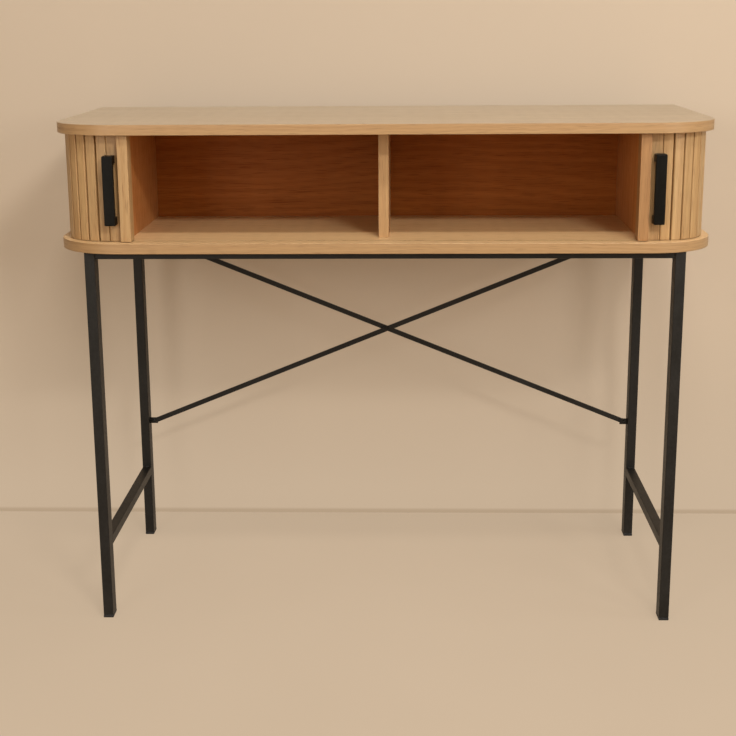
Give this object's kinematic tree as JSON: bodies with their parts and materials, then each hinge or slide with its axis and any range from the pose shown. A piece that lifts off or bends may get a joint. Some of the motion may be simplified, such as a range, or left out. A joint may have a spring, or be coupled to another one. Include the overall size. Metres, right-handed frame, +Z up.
{
  "type": "tambour desk",
  "caption": "Writing desk with a shallow oak carcass, open compartments, round front corners with sliding slatted tambour doors, and a black steel tube frame with a crossed rear brace.",
  "frame": {"origin": "on the floor, under the middle of the desk's box", "axes": "+X to the sitter's right, +Y away from the sitter to the back, +Z up"},
  "size_m": [0.954, 0.4, 0.75],
  "materials": {
    "oak_board": "satin oak veneer",
    "oak_slat": "satin oak",
    "black_steel": "satin black powder coat",
    "black_plastic": "matt moulded",
    "zinc_steel": "zinc plated",
    "beech_dowel": "bare beech",
    "canvas": "plain woven cotton"
  },
  "bodies": {
    "desk": {"top_board": "oak_board", "bottom_board": "oak_board", "left_partition": "oak_board", "right_partition": "oak_board", "centre_divider": "oak_board", "back_panel": "oak_board", "left_rear_post": "oak_board", "right_rear_post": "oak_board", "front_left_leg": "black_steel", "front_right_leg": "black_steel", "rear_left_leg": "black_steel", "rear_right_leg": "black_steel", "front_rail": "black_steel", "rear_rail": "black_steel", "left_top_rail": "black_steel", "right_top_rail": "black_steel", "left_stretcher": "black_steel", "right_stretcher": "black_steel", "rising_brace_bar": "black_steel", "falling_brace_bar": "black_steel", "brace_lugs": "black_steel", "brace_bolts": "black_steel", "brace_nuts": "black_steel", "frame_screws": "zinc_steel", "carcass_screws": "zinc_steel", "cam_locks": "zinc_steel", "cam_bolts": "zinc_steel", "foot_caps": "black_plastic", "carcass_dowels": "beech_dowel"},
    "left_door": {"left_lead_stile": "oak_slat", "left_front_slats": "oak_slat", "left_front_canvas": "canvas", "left_handle": "black_steel", "left_handle_screws": "zinc_steel"},
    "left_corner_slat_1": {"left_corner_slat_1": "oak_slat"},
    "left_corner_slat_2": {"left_corner_slat_2": "oak_slat"},
    "left_corner_slat_3": {"left_corner_slat_3": "oak_slat"},
    "left_corner_slat_4": {"left_corner_slat_4": "oak_slat"},
    "left_corner_slat_5": {"left_corner_slat_5": "oak_slat"},
    "left_curtain_run": {"left_side_slats": "oak_slat", "left_side_canvas": "canvas"},
    "right_door": {"right_lead_stile": "oak_slat", "right_front_slats": "oak_slat", "right_front_canvas": "canvas", "right_handle": "black_steel", "right_handle_screws": "zinc_steel"},
    "right_corner_slat_1": {"right_corner_slat_1": "oak_slat"},
    "right_corner_slat_2": {"right_corner_slat_2": "oak_slat"},
    "right_corner_slat_3": {"right_corner_slat_3": "oak_slat"},
    "right_corner_slat_4": {"right_corner_slat_4": "oak_slat"},
    "right_corner_slat_5": {"right_corner_slat_5": "oak_slat"},
    "right_curtain_run": {"right_side_slats": "oak_slat", "right_side_canvas": "canvas"}
  },
  "joints": [
    {"name": "left_door_slide", "type": "slide", "parent": "desk", "child": "left_door", "axis": [1, 0, 0], "range_m": [0, 0.361], "deforming": ["left_corner_slat_1", "left_corner_slat_2", "left_corner_slat_3", "left_corner_slat_4", "left_corner_slat_5", "left_side_slats", "left_side_canvas"]},
    {"name": "left_corner_slat_1_turn", "type": "hinge", "parent": "desk", "child": "left_corner_slat_1", "pos_m": [-0.228, 1.20135, 0.6585], "axis": [0, 0, 1], "range_deg": [0, 15.01]},
    {"name": "left_corner_slat_2_turn", "type": "hinge", "parent": "desk", "child": "left_corner_slat_2", "pos_m": [-0.2352, 0.5049, 0.6585], "axis": [0, 0, 1], "range_deg": [0, 30.01]},
    {"name": "left_corner_slat_3_turn", "type": "hinge", "parent": "desk", "child": "left_corner_slat_3", "pos_m": [-0.2424, 0.26862, 0.6585], "axis": [0, 0, 1], "range_deg": [0, 45.01]},
    {"name": "left_corner_slat_4_turn", "type": "hinge", "parent": "desk", "child": "left_corner_slat_4", "pos_m": [-0.2496, 0.14776, 0.6585], "axis": [0, 0, 1], "range_deg": [0, 60.01]},
    {"name": "left_corner_slat_5_turn", "type": "hinge", "parent": "desk", "child": "left_corner_slat_5", "pos_m": [-0.2568, 0.07332, 0.6585], "axis": [0, 0, 1], "range_deg": [0, 75.01]},
    {"name": "left_curtain_run_turn", "type": "hinge", "parent": "desk", "child": "left_curtain_run", "pos_m": [-0.264, 0.0223, 0.6585], "axis": [0, 0, 1], "range_deg": [0, 90.01]},
    {"name": "right_door_slide", "type": "slide", "parent": "desk", "child": "right_door", "axis": [-1, 0, 0], "range_m": [0, 0.361], "deforming": ["right_corner_slat_1", "right_corner_slat_2", "right_corner_slat_3", "right_corner_slat_4", "right_corner_slat_5", "right_side_slats", "right_side_canvas"]},
    {"name": "right_corner_slat_1_turn", "type": "hinge", "parent": "desk", "child": "right_corner_slat_1", "pos_m": [0.228, 1.20135, 0.6585], "axis": [0, 0, -1], "range_deg": [0, 15.01]},
    {"name": "right_corner_slat_2_turn", "type": "hinge", "parent": "desk", "child": "right_corner_slat_2", "pos_m": [0.2352, 0.5049, 0.6585], "axis": [0, 0, -1], "range_deg": [0, 30.01]},
    {"name": "right_corner_slat_3_turn", "type": "hinge", "parent": "desk", "child": "right_corner_slat_3", "pos_m": [0.2424, 0.26862, 0.6585], "axis": [0, 0, -1], "range_deg": [0, 45.01]},
    {"name": "right_corner_slat_4_turn", "type": "hinge", "parent": "desk", "child": "right_corner_slat_4", "pos_m": [0.2496, 0.14776, 0.6585], "axis": [0, 0, -1], "range_deg": [0, 60.01]},
    {"name": "right_corner_slat_5_turn", "type": "hinge", "parent": "desk", "child": "right_corner_slat_5", "pos_m": [0.2568, 0.07332, 0.6585], "axis": [0, 0, -1], "range_deg": [0, 75.01]},
    {"name": "right_curtain_run_turn", "type": "hinge", "parent": "desk", "child": "right_curtain_run", "pos_m": [0.264, 0.0223, 0.6585], "axis": [0, 0, -1], "range_deg": [0, 90.01]}
  ],
  "couplings": [
    {"joint": "left_corner_slat_1_turn", "follows": "left_door_slide", "rad_per_m": 0.72521},
    {"joint": "left_corner_slat_2_turn", "follows": "left_door_slide", "rad_per_m": 1.4504},
    {"joint": "left_corner_slat_3_turn", "follows": "left_door_slide", "rad_per_m": 2.1756},
    {"joint": "left_corner_slat_4_turn", "follows": "left_door_slide", "rad_per_m": 2.9008},
    {"joint": "left_corner_slat_5_turn", "follows": "left_door_slide", "rad_per_m": 3.626},
    {"joint": "left_curtain_run_turn", "follows": "left_door_slide", "rad_per_m": 4.3512},
    {"joint": "right_corner_slat_1_turn", "follows": "right_door_slide", "rad_per_m": 0.72521},
    {"joint": "right_corner_slat_2_turn", "follows": "right_door_slide", "rad_per_m": 1.4504},
    {"joint": "right_corner_slat_3_turn", "follows": "right_door_slide", "rad_per_m": 2.1756},
    {"joint": "right_corner_slat_4_turn", "follows": "right_door_slide", "rad_per_m": 2.9008},
    {"joint": "right_corner_slat_5_turn", "follows": "right_door_slide", "rad_per_m": 3.626},
    {"joint": "right_curtain_run_turn", "follows": "right_door_slide", "rad_per_m": 4.3512}
  ]
}
